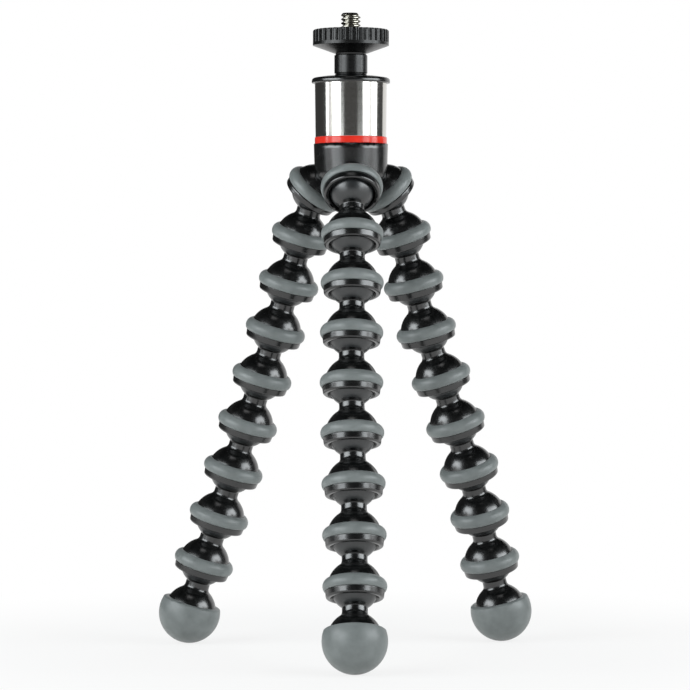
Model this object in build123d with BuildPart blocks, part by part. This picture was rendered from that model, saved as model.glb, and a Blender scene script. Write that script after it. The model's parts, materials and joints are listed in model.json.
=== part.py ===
from build123d import *
from math import acos, asin, atan2, cos, degrees, hypot, radians, sin, sqrt
import os

# Flexible tripod for a small camera.
# Three legs of ball-and-socket links hang from a hub with three sockets.
# A small ball head with a fluted lock wheel stands on the hub.
# Millimetres, +Z up. The origin is on the floor, on the vertical axis of the hub.
# The front leg points along -Y. The pose is the one in which the tripod stands.

# Ball joint of a leg
BALL_R = 7.4  # ball of a link
BALL_CLEARANCE = 0.1  # between a ball and the socket round it
SOCKET_WALL = 0.9  # shell of the socket dome
LINK_COUNT = 8  # of each leg, the foot not counted
NECK_R = 3.95  # waist between ball and dome
NECK_LENGTH = 2.28  # of the waist, from the ball's surface to the dome's
NECK_UNDERCUT = 0.3  # the waist is this much thinner where it meets the dome
MOUTH_DROP = 2.6  # the socket grips the ball down to here, below the ball centre
LIP_HEIGHT = 0.9  # from the mouth down to the end face of the socket
LIP_FLARE = 0.55  # the mouth opens out by this much at the end face
LIP_ROUND = 0.7  # rounding of the outer lip edge
BAND_STEP = 0.7  # the plain band under the grip ring stands out this far beyond the dome
BAND_DRAFT = 0.2  # the band is this much slimmer at its lower edge
SHOULDER_DROP = 1.3  # top of the band, which is the seat of the grip ring

# Rubber grip ring
GRIP_PROUD = 0.78  # the ring stands out this far beyond the band
GRIP_SECTION_R = 2.46  # the crown of the ring is an arc of this radius
GRIP_RISE = 0.35  # its widest circle lies this far above the socket centre
GRIP_CLEARANCE = 0.05  # between the ring and the link that it is pushed on

# Foot
FOOT_WALL = 1.62  # of the rubber half ball that stands on the floor
FOOT_DROP = 0.7  # its centre lies this far beyond the dome centre
FOOT_RIM_RISE = 3.6  # rim, above the centre of the half ball
FOOT_RIM_FLAT = 0.07  # flat that the rounding of the rim leaves

# Hub
HUB_SPREAD = 4.9  # from the hub axis to the inner side of each socket's dome
HUB_SOCKET_DIP = 47.0  # degrees that each socket points below the horizontal
HUB_LEDGE = 1.3  # of the hub's top face, round the spigot
HUB_NARROWING = 0.3  # the hub is this much slimmer beside the sockets
HUB_WAIST_RISE = 4.0  # height of that narrower part above the ball centres
HUB_RISE = 14.5  # top face of the hub, above the ball centres
HUB_FLOOR_R = 6.0
HUB_FLOOR_DROP = 2.5  # underside of the hub, below the ball centres
HUB_FLOOR_ROUND = 3.0
GRIP_RELIEF = 0.25  # space kept between the hub and each grip ring

# Accent ring and steel sleeve
ACCENT_WALL = 1.0
ACCENT_HEIGHT = 2.2
SLEEVE_TOP_WALL = 0.95
SLEEVE_BOTTOM_WALL = 0.75
SLEEVE_HEIGHT = 17.3
FIT_CLEARANCE = 0.05  # between the sleeve's bore and what stands still in it

# Ball head
HEAD_BALL_R = 8.5
HEAD_BALL_DROP = 6.3  # ball centre, below the top of the collar
SEAT_CLEARANCE = 0.1  # round the ball, and round the seat that turns with it
SEAT_SPLIT = 0.2  # gap between the seat and the collar, at the ball's middle
SEAT_WALL = 1.9  # of the seat, beside the ball
SEAT_FLOOR = 1.6  # of the seat, under the ball
COLLAR_OVERHANG = 1.0  # the collar stands out this far beyond the sleeve
COLLAR_HEIGHT = 2.3  # part of the collar that stands on the sleeve
COLLAR_CROWN = 0.7  # the collar's edge lies this much lower than its middle
COLLAR_ROUND = 0.8
COLLAR_GRIP_RISE = 4.4  # the collar holds the ball up to here, above the ball centre
COLLAR_FLARE = 0.8  # its mouth opens out by this much at the top
STEM_NECK_R = 4.9
STEM_NECK_HEIGHT = 0.15  # of the neck between the ball and the stem
STEM_STEP = 0.4  # the stem stands out this far beyond the neck
STEM_HEIGHT = 5.95

# Lock wheel and camera stud
WHEEL_R = 12.2
WHEEL_RIM_HEIGHT = 5.05
WHEEL_CONE_HEIGHT = 2.45  # of the sloping underside, from the rim to the boss
WHEEL_GAP = 0.1  # running gap between the wheel and the stem
WHEEL_BOSS_R = 4.9
WHEEL_BOSS_HEIGHT = 0.5
WHEEL_CONE_R = 5.5  # where the sloping underside meets the boss
WHEEL_CHAMFER = 0.4
FLUTE_COUNT = 36
FLUTE_R = 0.75
FLUTE_DEPTH = 0.7
FLUTE_STOP = 1.0  # the flutes end this far above the rim's underside
STUD_R = 3.175  # quarter inch camera thread, outside
STUD_RELIEF = 0.2  # the plain shank in the wheel and the stem is this much slimmer than the thread
STUD_RELIEF_RISE = 0.25  # the shank ends, and the thread begins, this far above the wheel
STUD_STAND = 5.35  # part of the stud above the wheel
STUD_ROOT = 5.0  # part of the stud in the stem
STUD_CHAMFER = 0.6
STUD_CLEARANCE = 0.12  # between the thread and the bore of the wheel that turns on the stud

# Each leg: its direction round the hub, in degrees, and for each link the angle from straight
# down, outward and then sideways, in degrees
HUB_TURN = 1.3
LEG_TURN_DEGREES = {"front": 270, "left": 150, "right": 30}
LEG_TILT_DEGREES = {
    "front": (21.5, 18, 16, 16, 16.5, 17, 18, 19.5, 21.5),
    "left": (19.5, 18, 18, 18, 19, 18.5, 18, 18.5, 15.5),
    "right": (21.5, 16.5, 16.5, 19.5, 20.5, 21, 18, 15.5, 14),
}
LEG_SWAY_DEGREES = {
    "front": (0, -0.5, -1, -0.5, 0.5, 1, 0.5, 0, -0.5),
    "left": (-2.5, -1, 0, 0.5, 1, 2, 3, 4, 5),
    "right": (-0.5, -0.5, -1.5, -2, 0, 2.5, 4, 2, -2),
}

# Sizes worked out from those above
cavity_r = BALL_R + BALL_CLEARANCE
dome_r = cavity_r + SOCKET_WALL
mouth_r = sqrt(cavity_r**2 - MOUTH_DROP**2)
flare_r = mouth_r + LIP_FLARE
lip_drop = MOUTH_DROP + LIP_HEIGHT
ball_to_neck = sqrt(BALL_R**2 - NECK_R**2)
undercut_r = NECK_R - NECK_UNDERCUT
dome_to_neck = sqrt(dome_r**2 - undercut_r**2)
link_pitch = ball_to_neck + NECK_LENGTH + dome_to_neck  # from ball centre to socket centre
band_r = dome_r + BAND_STEP
lip_r = band_r - BAND_DRAFT - LIP_ROUND
grip_r = band_r + GRIP_PROUD
grip_seat_r = dome_r + GRIP_CLEARANCE
grip_section_place = grip_r - GRIP_SECTION_R
foot_r = grip_seat_r + FOOT_WALL
hub_ball_offset = dome_r + HUB_SPREAD  # leg ball centres, from the hub axis
nest_r = HEAD_BALL_R + SEAT_CLEARANCE
bore_of_sleeve = nest_r + SEAT_WALL + SEAT_CLEARANCE
sleeve_top_r = bore_of_sleeve + SLEEVE_TOP_WALL
sleeve_bottom_r = bore_of_sleeve + SLEEVE_BOTTOM_WALL
hub_r = bore_of_sleeve + HUB_LEDGE
collar_r = sleeve_top_r + COLLAR_OVERHANG
half = sqrt(0.5)


def leg_drop(tilts, sways, lengths):
    """How far a leg reaches down and out, from its hub ball to the centre of its half ball."""
    down = sum(length * cos(sway) * cos(tilt) for tilt, sway, length in zip(tilts, sways, lengths))
    out = sum(length * cos(sway) * sin(tilt) for tilt, sway, length in zip(tilts, sways, lengths))
    return down, out


def leg_angles(leg):
    """Direction, tilts and sways of a leg in radians, as chosen."""
    tilts = [radians(angle) for angle in LEG_TILT_DEGREES[leg]]
    sways = [radians(angle) for angle in LEG_SWAY_DEGREES[leg]]
    return radians(LEG_TURN_DEGREES[leg] + HUB_TURN), tilts, sways


link_lengths = [link_pitch] * LINK_COUNT + [link_pitch + FOOT_DROP]
stand_drop, _ = leg_drop(*leg_angles("front")[1:], link_lengths)
hub_ball_z = stand_drop + foot_r


def leg_places(leg):
    """Ball centres and link directions of a leg, from the hub down.

    All links of the leg lean out by the small angle that sets its foot on the floor.
    """
    turn, tilts, sways = leg_angles(leg)
    down, out = leg_drop(tilts, sways, link_lengths)
    lean = acos(stand_drop / hypot(down, out)) - atan2(out, down)
    outward = Vector(cos(turn), sin(turn), 0)
    aside = Vector(-sin(turn), cos(turn), 0)
    ball = outward * hub_ball_offset + Vector(0, 0, hub_ball_z)
    places = []
    for tilt, sway in zip(tilts, sways):
        straight = outward * sin(tilt + lean) - Vector(0, 0, cos(tilt + lean))
        along = straight * cos(sway) + aside * sin(sway)
        places.append((ball, along))
        ball = ball + along * link_pitch
    return places


def socket_plane(centre, along):
    """Plane of a socket's half section: X is its radius, Y points back along the link."""
    across = along.cross(Vector(0, 0, 1)).normalized()
    return Plane(origin=centre, x_dir=across, z_dir=across.cross(-along))


def hub_socket(leg):
    """Plane of one of the hub's three sockets."""
    turn, _, _ = leg_angles(leg)
    dip = radians(HUB_SOCKET_DIP)
    outward = Vector(cos(turn), sin(turn), 0)
    centre = outward * hub_ball_offset + Vector(0, 0, hub_ball_z)
    return socket_plane(centre, outward * cos(dip) - Vector(0, 0, sin(dip)))


def own_axis(plane):
    return Axis(plane.origin, plane.y_dir)


def socket_outside():
    """Lines from the dome's equator down the band and round the lip."""
    band_corner = (band_r, -SHOULDER_DROP)
    lip_corner = (band_r - BAND_DRAFT, -lip_drop + LIP_ROUND)
    lip_middle = (lip_r + LIP_ROUND * half, -lip_drop + LIP_ROUND * (1 - half))
    Polyline((dome_r, 0), (dome_r, -SHOULDER_DROP), band_corner, lip_corner)
    ThreePointArc(lip_corner, lip_middle, (lip_r, -lip_drop))


def socket_inside():
    """Lines from the end face in through the mouth to the top of the cavity."""
    mouth = (mouth_r, -MOUTH_DROP)
    Line((flare_r, -lip_drop), mouth)
    ThreePointArc(mouth, (cavity_r * half, cavity_r * half), (0, cavity_r))


def ball_and_neck(ball_centre):
    """Lines from the pole of a ball round to the foot of its waist on the dome."""
    pole = (0, ball_centre + BALL_R)
    neck_top = (NECK_R, ball_centre - ball_to_neck)
    neck_end = (NECK_R, dome_to_neck + NECK_UNDERCUT)
    dome_start = (undercut_r, dome_to_neck)
    ThreePointArc(pole, (BALL_R, ball_centre), neck_top)
    Polyline(neck_top, neck_end, dome_start)


def link_section(plane):
    """Half section of a link: ball, waist, dome and snap socket in one moulding."""
    with BuildSketch(plane) as section:
        with BuildLine():
            ball_and_neck(link_pitch)
            ThreePointArc((undercut_r, dome_to_neck), (dome_r * half, dome_r * half), (dome_r, 0))
            socket_outside()
            Line((lip_r, -lip_drop), (flare_r, -lip_drop))
            socket_inside()
            Line((0, cavity_r), (0, link_pitch + BALL_R))
        make_face()
    return section.sketch


def grip_section(plane):
    """Half section of a grip ring: a round crown, seated on the dome and the shoulder."""
    reach = hypot(grip_section_place, GRIP_RISE)
    along = (reach**2 + grip_seat_r**2 - GRIP_SECTION_R**2) / (2 * reach)
    angle = atan2(GRIP_RISE, grip_section_place) + acos(along / grip_seat_r)
    foot = -SHOULDER_DROP + GRIP_CLEARANCE
    top = (grip_seat_r * cos(angle), grip_seat_r * sin(angle))
    heel_r = grip_section_place + sqrt(GRIP_SECTION_R**2 - (GRIP_RISE - foot) ** 2)
    middle = (grip_seat_r * cos(angle / 2), grip_seat_r * sin(angle / 2))
    with BuildSketch(plane) as section:
        with BuildLine():
            Polyline((grip_seat_r, 0), (grip_seat_r, foot), (heel_r, foot))
            ThreePointArc((heel_r, foot), (grip_r, GRIP_RISE), top)
            ThreePointArc(top, middle, (grip_seat_r, 0))
        make_face()
    return section.sketch


def foot_core_section(plane):
    """Half section of the foot's hard core: ball, waist and dome."""
    with BuildSketch(plane) as section:
        with BuildLine():
            ball_and_neck(link_pitch)
            ThreePointArc((undercut_r, dome_to_neck), (dome_r, 0), (0, -dome_r))
            Line((0, -dome_r), (0, link_pitch + BALL_R))
        make_face()
    return section.sketch


def foot_pad_section(plane):
    """Half section of the rubber half ball that is pushed on the core."""
    rim = FOOT_RIM_RISE - FOOT_DROP
    inner_rim_r = sqrt(grip_seat_r**2 - rim**2)
    outer_rim_r = sqrt(foot_r**2 - FOOT_RIM_RISE**2)
    low = (0, -FOOT_DROP - foot_r)
    with BuildSketch(plane) as section:
        with BuildLine():
            ThreePointArc((inner_rim_r, rim), (grip_seat_r * half, -grip_seat_r * half), (0, -grip_seat_r))
            Line((0, -grip_seat_r), low)
            ThreePointArc(low, (foot_r * half, -FOOT_DROP - foot_r * half), (outer_rim_r, rim))
            Line((outer_rim_r, rim), (inner_rim_r, rim))
        make_face()
        outer_rim = section.vertices().sort_by_distance((outer_rim_r, rim, 0))[0]
        fillet(outer_rim, outer_rim_r - inner_rim_r - FOOT_RIM_FLAT)
    return section.sketch


def save(piece, name):
    piece.part.label = name
    export_step(piece.part, f"parts/{name}.step")


os.makedirs("parts", exist_ok=True)

# Legs: eight links, each with its grip ring, and a foot
for leg in LEG_TURN_DEGREES:
    places = leg_places(leg)
    for number, (ball, along) in enumerate(places[:-1], start=1):
        plane = socket_plane(ball + along * link_pitch, along)
        with BuildPart() as link:
            revolve(link_section(plane), axis=own_axis(plane))
        save(link, f"{leg}_leg_link_{number}")
        with BuildPart() as grip_ring:
            revolve(grip_section(plane), axis=own_axis(plane))
        save(grip_ring, f"{leg}_leg_grip_ring_{number}")
    ball, along = places[-1]
    plane = socket_plane(ball + along * link_pitch, along)
    with BuildPart() as foot:
        revolve(foot_core_section(plane), axis=own_axis(plane))
        revolve(foot_pad_section(plane), axis=own_axis(plane))
    save(foot, f"{leg}_leg_foot")

# Hub: a tapered body with three sockets, and a spigot that centres the sleeve
hub_top = hub_ball_z + HUB_RISE
sleeve_bottom = hub_top + ACCENT_HEIGHT
sleeve_top = sleeve_bottom + SLEEVE_HEIGHT
collar_top = sleeve_top + COLLAR_HEIGHT
head_ball_z = collar_top - HEAD_BALL_DROP
seat_bottom = head_ball_z - nest_r - SEAT_FLOOR
spigot_top = seat_bottom - SEAT_CLEARANCE
spigot_r = bore_of_sleeve - FIT_CLEARANCE
hub_floor = hub_ball_z - HUB_FLOOR_DROP
hub_waist = hub_ball_z + HUB_WAIST_RISE
hub_waist_r = hub_r - HUB_NARROWING
with BuildPart() as hub_body:
    with BuildSketch(Plane.XZ) as section:
        with BuildLine():
            Polyline((0, hub_floor), (0, spigot_top), (spigot_r, spigot_top), (spigot_r, hub_top))
            Polyline((spigot_r, hub_top), (hub_r, hub_top), (hub_waist_r, hub_waist))
            Polyline((hub_waist_r, hub_waist), (HUB_FLOOR_R, hub_floor), (0, hub_floor))
        make_face()
        floor_edge = section.vertices().sort_by_distance((HUB_FLOOR_R, hub_floor, 0))[0]
        fillet(floor_edge, HUB_FLOOR_ROUND)
    revolve(axis=Axis.Z)
    for leg in LEG_TURN_DEGREES:
        plane = hub_socket(leg)
        with BuildSketch(plane):
            with BuildLine():
                ThreePointArc((0, dome_r), (dome_r * half, dome_r * half), (dome_r, 0))
                socket_outside()
                Polyline((lip_r, -lip_drop), (0, -lip_drop), (0, dome_r))
            make_face()
        revolve(axis=own_axis(plane))
    for leg in LEG_TURN_DEGREES:
        plane = hub_socket(leg)
        relief_top = GRIP_RISE + GRIP_SECTION_R + GRIP_RELIEF
        with BuildSketch(plane):
            with BuildLine():
                Polyline((dome_r, -SHOULDER_DROP), (grip_r + GRIP_RELIEF, -SHOULDER_DROP))
                Line((grip_r + GRIP_RELIEF, -SHOULDER_DROP), (grip_r + GRIP_RELIEF, relief_top))
                relief_r = sqrt(dome_r**2 - relief_top**2)
                Line((grip_r + GRIP_RELIEF, relief_top), (relief_r, relief_top))
                bulge = atan2(relief_top, relief_r) / 2
                ThreePointArc((relief_r, relief_top), (dome_r * cos(bulge), dome_r * sin(bulge)), (dome_r, 0))
                Line((dome_r, 0), (dome_r, -SHOULDER_DROP))
            make_face()
        revolve(axis=own_axis(plane), mode=Mode.SUBTRACT)
        with BuildSketch(plane):
            with BuildLine():
                socket_inside()
                Polyline((flare_r, -lip_drop), (0, -lip_drop), (0, cavity_r))
            make_face()
        revolve(axis=own_axis(plane), mode=Mode.SUBTRACT)
save(hub_body, "hub_body")

with BuildPart() as hub_grip_rings:
    for leg in LEG_TURN_DEGREES:
        plane = hub_socket(leg)
        revolve(grip_section(plane), axis=own_axis(plane))
save(hub_grip_rings, "hub_grip_rings")

# Accent ring and steel sleeve, stacked on the hub
with BuildPart() as accent_ring:
    with BuildSketch(Plane.XY.offset(hub_top)):
        Circle(bore_of_sleeve + ACCENT_WALL)
        Circle(bore_of_sleeve, mode=Mode.SUBTRACT)
    extrude(amount=ACCENT_HEIGHT)
save(accent_ring, "accent_ring")

with BuildPart() as steel_sleeve:
    with BuildSketch(Plane.XY.offset(sleeve_bottom)):
        Circle(sleeve_bottom_r)
    with BuildSketch(Plane.XY.offset(sleeve_top)):
        Circle(sleeve_top_r)
    loft()
    with BuildSketch(Plane.XY.offset(sleeve_bottom)):
        Circle(bore_of_sleeve)
    extrude(amount=SLEEVE_HEIGHT, mode=Mode.SUBTRACT)
save(steel_sleeve, "steel_sleeve")

# Ball head: collar and seat close round the ball from above and below
collar_grip_r = sqrt(nest_r**2 - COLLAR_GRIP_RISE**2)
collar_mouth_r = collar_grip_r + COLLAR_FLARE
split_top = head_ball_z + SEAT_SPLIT / 2
split_bottom = head_ball_z - SEAT_SPLIT / 2
split_r = sqrt(nest_r**2 - (SEAT_SPLIT / 2) ** 2)
with BuildPart() as collar_cap:
    with BuildSketch(Plane.XZ) as section:
        with BuildLine():
            grip_edge = (collar_grip_r, head_ball_z + COLLAR_GRIP_RISE)
            middle_angle = asin(COLLAR_GRIP_RISE / nest_r) / 2
            middle = (nest_r * cos(middle_angle), head_ball_z + nest_r * sin(middle_angle))
            ThreePointArc((split_r, split_top), middle, grip_edge)
            Polyline(grip_edge, (collar_mouth_r, collar_top), (collar_r, collar_top - COLLAR_CROWN))
            Polyline((collar_r, collar_top - COLLAR_CROWN), (collar_r, sleeve_top), (spigot_r, sleeve_top))
            Polyline((spigot_r, sleeve_top), (spigot_r, split_top), (split_r, split_top))
        make_face()
        upper_edge = section.vertices().sort_by_distance((collar_r, collar_top - COLLAR_CROWN, 0))[0]
        fillet(upper_edge, COLLAR_ROUND)
    revolve(axis=Axis.Z)
save(collar_cap, "collar_cap")

seat_r = nest_r + SEAT_WALL
with BuildPart() as ball_seat:
    with BuildSketch(Plane.XZ):
        with BuildLine():
            low = (0, head_ball_z - nest_r)
            middle = (nest_r * half, head_ball_z - nest_r * half)
            ThreePointArc(low, middle, (split_r, split_bottom))
            Polyline((split_r, split_bottom), (seat_r, split_bottom), (seat_r, seat_bottom))
            Polyline((seat_r, seat_bottom), (0, seat_bottom), low)
        make_face()
    revolve(axis=Axis.Z)
save(ball_seat, "ball_seat")

head_neck_rise = sqrt(HEAD_BALL_R**2 - STEM_NECK_R**2)
stem_r = STEM_NECK_R + STEM_STEP
stem_bottom = head_ball_z + head_neck_rise + STEM_NECK_HEIGHT
stem_top = stem_bottom + STEM_HEIGHT
stud_bottom = stem_top - STUD_ROOT
shank_r = STUD_R - STUD_RELIEF
with BuildPart() as ball_stem:
    with BuildSketch(Plane.XZ):
        with BuildLine():
            pole = (0, head_ball_z - HEAD_BALL_R)
            neck = (STEM_NECK_R, head_ball_z + head_neck_rise)
            ThreePointArc(pole, (HEAD_BALL_R, head_ball_z), neck)
            Polyline(neck, (STEM_NECK_R, stem_bottom), (stem_r, stem_bottom), (stem_r, stem_top))
            Polyline((stem_r, stem_top), (0, stem_top), pole)
        make_face()
    revolve(axis=Axis.Z)
    with BuildSketch(Plane.XY.offset(stud_bottom)):
        Circle(shank_r + FIT_CLEARANCE)
    extrude(amount=STUD_ROOT, mode=Mode.SUBTRACT)
save(ball_stem, "ball_stem")

# Lock wheel, which turns on the stud, and the stud itself
boss_bottom = stem_top + WHEEL_GAP
boss_top = boss_bottom + WHEEL_BOSS_HEIGHT
rim_bottom = boss_top + WHEEL_CONE_HEIGHT
wheel_top = rim_bottom + WHEEL_RIM_HEIGHT
bore_r = STUD_R + STUD_CLEARANCE
with BuildPart() as lock_wheel:
    with BuildSketch(Plane.XZ) as section:
        with BuildLine():
            Polyline((bore_r, boss_bottom), (WHEEL_BOSS_R, boss_bottom), (WHEEL_BOSS_R, boss_top))
            Polyline((WHEEL_BOSS_R, boss_top), (WHEEL_CONE_R, boss_top), (WHEEL_R, rim_bottom))
            Polyline((WHEEL_R, rim_bottom), (WHEEL_R, wheel_top), (bore_r, wheel_top), (bore_r, boss_bottom))
        make_face()
        chamfer(section.vertices().sort_by_distance((WHEEL_R, wheel_top, 0))[0], WHEEL_CHAMFER)
    revolve(axis=Axis.Z)
    with BuildSketch(Plane.XY.offset(rim_bottom + FLUTE_STOP)):
        with PolarLocations(WHEEL_R + FLUTE_R - FLUTE_DEPTH, FLUTE_COUNT):
            Circle(FLUTE_R)
    extrude(amount=WHEEL_RIM_HEIGHT, mode=Mode.SUBTRACT)
save(lock_wheel, "lock_wheel")

stud_top = wheel_top + STUD_STAND
thread_bottom = wheel_top + STUD_RELIEF_RISE
with BuildPart() as camera_stud:
    with BuildSketch(Plane.XY.offset(stud_bottom)):
        Circle(shank_r)
    extrude(amount=thread_bottom - stud_bottom)
    with BuildSketch(Plane.XY.offset(thread_bottom)):
        Circle(STUD_R)
    extrude(amount=stud_top - thread_bottom)
    chamfer(camera_stud.edges().group_by(Axis.Z)[-1], STUD_CHAMFER)
save(camera_stud, "camera_stud")

# What the joints need: places of the balls, and how far a ball joint can bend
edge_angle = degrees(atan2(mouth_r, MOUTH_DROP) - asin(NECK_R / cavity_r))
lip_angle = degrees(atan2(flare_r, lip_drop) - asin(NECK_R / hypot(flare_r, lip_drop)))
head_edge = degrees(atan2(collar_grip_r, COLLAR_GRIP_RISE) - asin(STEM_NECK_R / nest_r))
head_reach = hypot(collar_mouth_r, HEAD_BALL_DROP)
head_mouth = degrees(atan2(collar_mouth_r, HEAD_BALL_DROP) - asin(stem_r / head_reach))
print(f"a leg joint bends {edge_angle:.1f} degrees to the mouth, {lip_angle:.1f} to the lip")
print(f"the head ball tilts {head_edge:.1f} degrees to the edge, {head_mouth:.1f} to the mouth")
print(f"hub balls at {hub_ball_z:.3f}, head ball at {head_ball_z:.3f}, stud top at {stud_top:.3f}")
for leg in LEG_TURN_DEGREES:
    for number, (ball, along) in enumerate(leg_places(leg), start=1):
        print(leg, number, *(f"{v:.4f}" for v in (*ball, *along)))
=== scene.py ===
# %% [markdown]
# # A flexible tripod with three legs of ball joints
# The tripod stands on three legs, each a chain of moulded links with a ball at one end and a
# snap socket at the other. A rubber ring grips each link, a rubber half ball ends each leg, and
# a small ball head with a lock wheel stands on top. The CAD model gives every place and size.
# This lesson dresses it: it spins smooth forms for the moulded parts, cuts the wheel's flutes,
# winds the camera thread, and gives each part the finish of its real material.

# %% Load the CAD frame
import json
import math

import bmesh
import bpy
from mathutils import Matrix, Vector

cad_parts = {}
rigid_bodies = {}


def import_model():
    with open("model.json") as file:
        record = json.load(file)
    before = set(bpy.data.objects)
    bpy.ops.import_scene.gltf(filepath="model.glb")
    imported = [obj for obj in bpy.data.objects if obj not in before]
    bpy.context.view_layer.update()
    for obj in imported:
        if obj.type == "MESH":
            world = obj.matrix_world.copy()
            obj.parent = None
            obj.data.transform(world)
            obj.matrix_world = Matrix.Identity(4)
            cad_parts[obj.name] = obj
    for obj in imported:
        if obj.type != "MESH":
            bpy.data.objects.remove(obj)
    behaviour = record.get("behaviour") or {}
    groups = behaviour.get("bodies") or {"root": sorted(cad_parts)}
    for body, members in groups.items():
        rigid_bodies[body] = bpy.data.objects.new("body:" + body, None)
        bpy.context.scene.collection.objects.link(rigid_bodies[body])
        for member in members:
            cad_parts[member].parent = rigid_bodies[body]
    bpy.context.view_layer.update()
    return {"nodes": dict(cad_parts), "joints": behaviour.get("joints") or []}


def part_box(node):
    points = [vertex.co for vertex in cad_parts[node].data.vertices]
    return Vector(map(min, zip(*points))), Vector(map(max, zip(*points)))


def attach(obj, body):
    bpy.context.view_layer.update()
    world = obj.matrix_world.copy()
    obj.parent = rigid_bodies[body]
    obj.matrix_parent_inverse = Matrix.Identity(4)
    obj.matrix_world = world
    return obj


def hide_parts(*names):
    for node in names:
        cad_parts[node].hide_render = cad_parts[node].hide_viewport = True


for leftover in list(bpy.data.objects):
    bpy.data.objects.remove(leftover)
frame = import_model()
nodes = frame["nodes"]
MM = 0.001  # one millimetre, in Blender's metres

# %% [markdown]
# ## Where things are
# Blender never moves a CAD part, so new pieces take their places from the frame. Each leg's
# nine joints sit at its ball centres, from the hub down. The line from one ball to the next is
# the direction of the link between them. The foot has no joint below it, but its half ball
# touches the floor and the outer sides of the foot's box, which gives its centre.

# %% Ball centres of the legs
LEGS = ("front", "left", "right")
LINK_COUNT = 8
FOOT_R = 10.07  # rubber half ball, mm
FOOT_DROP = 0.7  # its centre, beyond the centre of the foot's dome
balls = {}
for leg in LEGS:
    balls[leg] = [Vector(joint["pos_m"]) / MM for joint in frame["joints"]
                  if joint["child"].startswith(leg)]


def outer_side(low, high, centre):
    """Centre of a ball that touches the far side of its box, seen from the tripod's axis."""
    return low + FOOT_R if centre < 0 else high - FOOT_R


def foot_direction(leg):
    """The direction from a leg's last ball to the middle of its rubber half ball."""
    low, high = (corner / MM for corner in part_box(f"{leg}_leg_foot"))
    ball = balls[leg][-1]
    pad = Vector((outer_side(low.x, high.x, ball.x), outer_side(low.y, high.y, ball.y),
                  low.z + FOOT_R))
    return (pad - ball).normalized()


directions = {}
for leg in LEGS:
    pairs = zip(balls[leg], balls[leg][1:])
    directions[leg] = [(lower - upper).normalized() for upper, lower in pairs]
    directions[leg].append(foot_direction(leg))
    print(leg, "leg stands at", tuple(round(v, 1) for v in balls[leg][-1]))

# %% [markdown]
# ## Half outlines, spun round
# Nearly every part of this tripod is round about its own axis, because it was turned or moulded
# that way. So each starts as one vertex on a half outline. Straight stretches are extruded,
# round stretches are spun from the last vertex, corners get a small bevel so that they catch
# the light, and a full spin closes the form. Smooth shading would round a long straight that
# meets a bevel, so a vertex close to each of its ends holds it straight.

# %% Helpers for half outlines
SPIN_STEPS = 96  # facets round a part
MERGE = 0.001  # mm, vertices closer than this become one


def start_outline(radius, height):
    """A half outline in the XZ plane, in millimetres, that starts at this point."""
    outline = bmesh.new()
    outline.verts.new((radius, 0, height))
    return outline


def last_vertex(outline):
    outline.verts.ensure_lookup_table()
    return outline.verts[-1]


def line_to(outline, *points):
    """Straight stretches to each (radius, height) in turn."""
    for radius, height in points:
        made = bmesh.ops.extrude_vert_indiv(outline, verts=[last_vertex(outline)])
        made["verts"][0].co = (radius, 0, height)


def arc_about(outline, radius, height, degrees, steps):
    """A round stretch about (radius, height). Positive degrees turn from up towards outwards."""
    bmesh.ops.spin(outline, geom=[last_vertex(outline)], cent=(radius, 0, height), axis=(0, 1, 0),
                   angle=math.radians(degrees), steps=steps)


def close_outline(outline):
    outline.verts.ensure_lookup_table()
    outline.edges.new((outline.verts[-1], outline.verts[0]))


def ease_corners(outline, corners, size):
    """Small bevels on the outline's corners nearest to these (radius, height) points."""
    chosen = {min(outline.verts, key=lambda v: (v.co - Vector((radius, 0, height))).length)
              for radius, height in corners}
    bmesh.ops.bevel(outline, geom=list(chosen), offset=size, offset_type="OFFSET", segments=3,
                    profile=0.5, affect="VERTICES", material=-1)


HOLD = 0.06  # mm, how close to its ends a straight is held
SHORTEST_STRAIGHT = 0.75  # mm, longer than any step of the round stretches


def hold_straights(outline):
    """A vertex close to each end of a straight, so that smooth shading leaves it straight."""
    straights = [edge for edge in outline.edges if edge.calc_length() > SHORTEST_STRAIGHT]
    for edge in straights:
        start, end = edge.verts
        _, near = bmesh.utils.edge_split(edge, start, HOLD / edge.calc_length())
        rest = next(piece for piece in near.link_edges if end in piece.verts)
        bmesh.utils.edge_split(rest, end, HOLD / rest.calc_length())


def spin_closed(outline, steps=SPIN_STEPS):
    """The full turn of a half outline about Z, as a clean closed form."""
    bmesh.ops.spin(outline, geom=outline.verts[:] + outline.edges[:], cent=(0, 0, 0),
                   axis=(0, 0, 1), angle=math.tau, steps=steps, use_merge=True)
    bmesh.ops.remove_doubles(outline, verts=outline.verts, dist=MERGE)
    bmesh.ops.recalc_face_normals(outline, faces=outline.faces)
    return outline


print("a full turn has", SPIN_STEPS, "facets")

# %% [markdown]
# ## From a form to a piece
# A form becomes a mesh with its place in its vertices, so that its object can stay at the
# origin, as the CAD parts do. The piece then rides on the CAD body that it belongs to, and
# stands for the CAD node that it replaces.

# %% Helpers for finished pieces
SMOOTH_ANGLE = math.radians(32)  # sharper edges than this stay crisp


def along_leg(centre, direction):
    """Places a part whose own Z axis points back up the leg."""
    turn = (-direction).to_track_quat("Z", "Y").to_matrix().to_4x4()
    return Matrix.Translation(centre) @ turn


def mesh_from(form, name, place):
    """A mesh in metres, with its place in its vertices. The form can be used again."""
    mesh = bpy.data.meshes.new(name)
    form.to_mesh(mesh)
    mesh.transform(Matrix.Scale(MM, 4) @ place)
    mesh.shade_smooth()
    mesh.set_sharp_from_angle(angle=SMOOTH_ANGLE)
    return mesh


def add_piece(mesh, body, finishes, stands_for):
    """An object at the origin that rides on a CAD body and stands for one of its nodes."""
    piece = bpy.data.objects.new(mesh.name, mesh)
    bpy.context.scene.collection.objects.link(piece)
    for finish in finishes:
        mesh.materials.append(finish)
    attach(piece, body)
    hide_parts(stands_for)
    return piece


print("edges over", round(math.degrees(SMOOTH_ANGLE)), "degrees stay crisp")

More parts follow.
